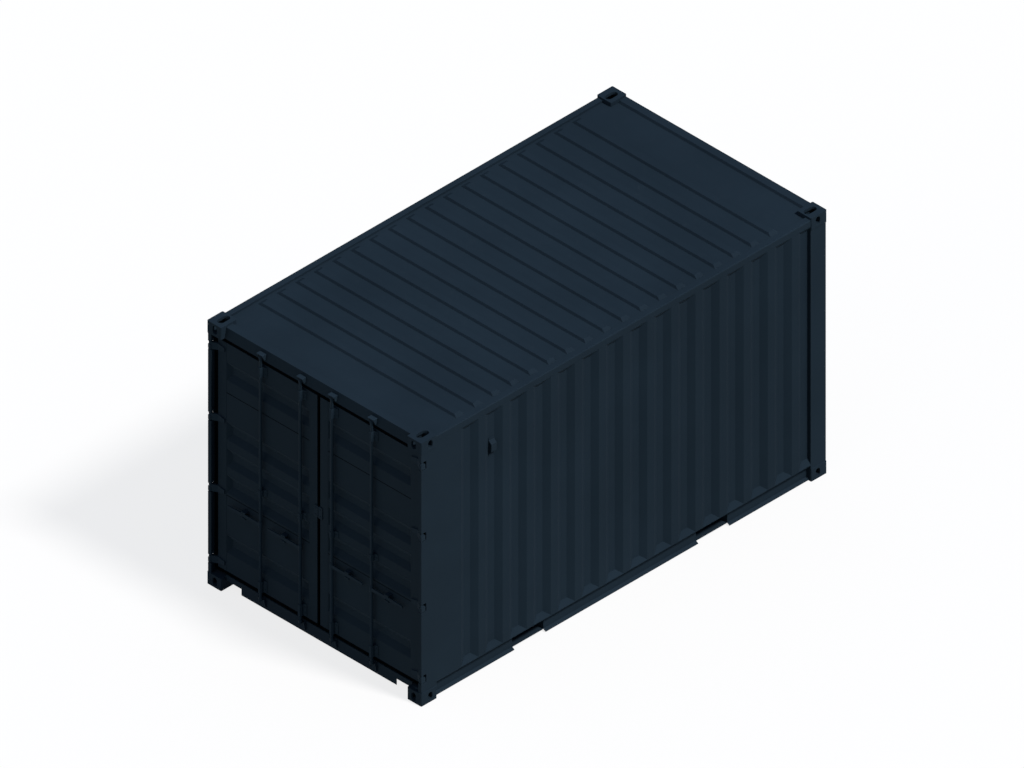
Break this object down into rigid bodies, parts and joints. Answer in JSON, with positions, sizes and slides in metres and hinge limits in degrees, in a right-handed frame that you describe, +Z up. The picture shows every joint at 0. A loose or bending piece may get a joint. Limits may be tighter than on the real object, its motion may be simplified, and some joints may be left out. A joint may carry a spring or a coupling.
{
  "type": "shipping container",
  "caption": "Dark blue corrugated steel shipping container with opening end doors, locking bars and corner castings.",
  "frame": {"origin": "bottom centre of the box over the corner castings, on the ground", "axes": "+Z up, X across the width, Y along the length; the doors close the -Y end"},
  "size_m": [2.438, 4.61, 2.591],
  "materials": {
    "body_paint": "satin",
    "gear_paint": "satin",
    "gasket_rubber": "matte",
    "floor_plywood": "matte"
  },
  "bodies": {
    "container": {"bottom_castings": "body_paint", "top_castings": "body_paint", "rear_post_left": "body_paint", "rear_post_right": "body_paint", "hinge_pins": "gear_paint", "front_post_left": "body_paint", "front_post_right": "body_paint", "door_header": "body_paint", "door_sill": "body_paint", "front_header": "body_paint", "front_sill": "body_paint", "top_rail_left": "body_paint", "top_rail_right": "body_paint", "bottom_rail_left": "body_paint", "bottom_rail_right": "body_paint", "rail_skirts_left": "body_paint", "rail_skirts_right": "body_paint", "side_wall_left": "body_paint", "side_wall_right": "body_paint", "front_wall": "body_paint", "roof": "body_paint", "roof_end_plates": "body_paint", "floor": "floor_plywood", "crossmembers": "body_paint", "fork_pocket_rear": "body_paint", "fork_pocket_front": "body_paint", "vent_left": "body_paint", "vent_right": "body_paint", "cam_keepers_top": "gear_paint", "cam_keepers_bottom": "gear_paint"},
    "left_door": {"door_frame_left": "body_paint", "door_panel_left": "body_paint", "door_gasket_left": "gasket_rubber", "hinge_blades_left": "gear_paint", "door_fittings_left": "gear_paint"},
    "right_door": {"door_frame_right": "body_paint", "door_panel_right": "body_paint", "door_gasket_right": "gasket_rubber", "hinge_blades_right": "gear_paint", "door_fittings_right": "gear_paint"},
    "left_outer_bar": {"locking_bar_outer_left": "gear_paint", "lock_handle_outer_left": "gear_paint"},
    "left_inner_bar": {"locking_bar_inner_left": "gear_paint", "lock_handle_inner_left": "gear_paint"},
    "right_outer_bar": {"locking_bar_outer_right": "gear_paint", "lock_handle_outer_right": "gear_paint"},
    "right_inner_bar": {"locking_bar_inner_right": "gear_paint", "lock_handle_inner_right": "gear_paint"}
  },
  "joints": [
    {"name": "left_door_swing", "type": "hinge", "parent": "container", "child": "left_door", "pos_m": [-1.199, -2.285, 1.301], "axis": [0, 0, -1], "range_deg": [0, 260]},
    {"name": "right_door_swing", "type": "hinge", "parent": "container", "child": "right_door", "pos_m": [1.199, -2.285, 1.301], "axis": [0, 0, 1], "range_deg": [0, 260]},
    {"name": "left_outer_bar_turn", "type": "hinge", "parent": "left_door", "child": "left_outer_bar", "pos_m": [-0.63121, -2.283, 1.301], "axis": [0, 0, -1], "range_deg": [-100, 0]},
    {"name": "left_inner_bar_turn", "type": "hinge", "parent": "left_door", "child": "left_inner_bar", "pos_m": [-0.17929, -2.283, 1.301], "axis": [0, 0, -1], "range_deg": [-100, 0]},
    {"name": "right_outer_bar_turn", "type": "hinge", "parent": "right_door", "child": "right_outer_bar", "pos_m": [0.63121, -2.283, 1.301], "axis": [0, 0, 1], "range_deg": [-100, 0]},
    {"name": "right_inner_bar_turn", "type": "hinge", "parent": "right_door", "child": "right_inner_bar", "pos_m": [0.17929, -2.283, 1.301], "axis": [0, 0, 1], "range_deg": [-100, 0]}
  ]
}
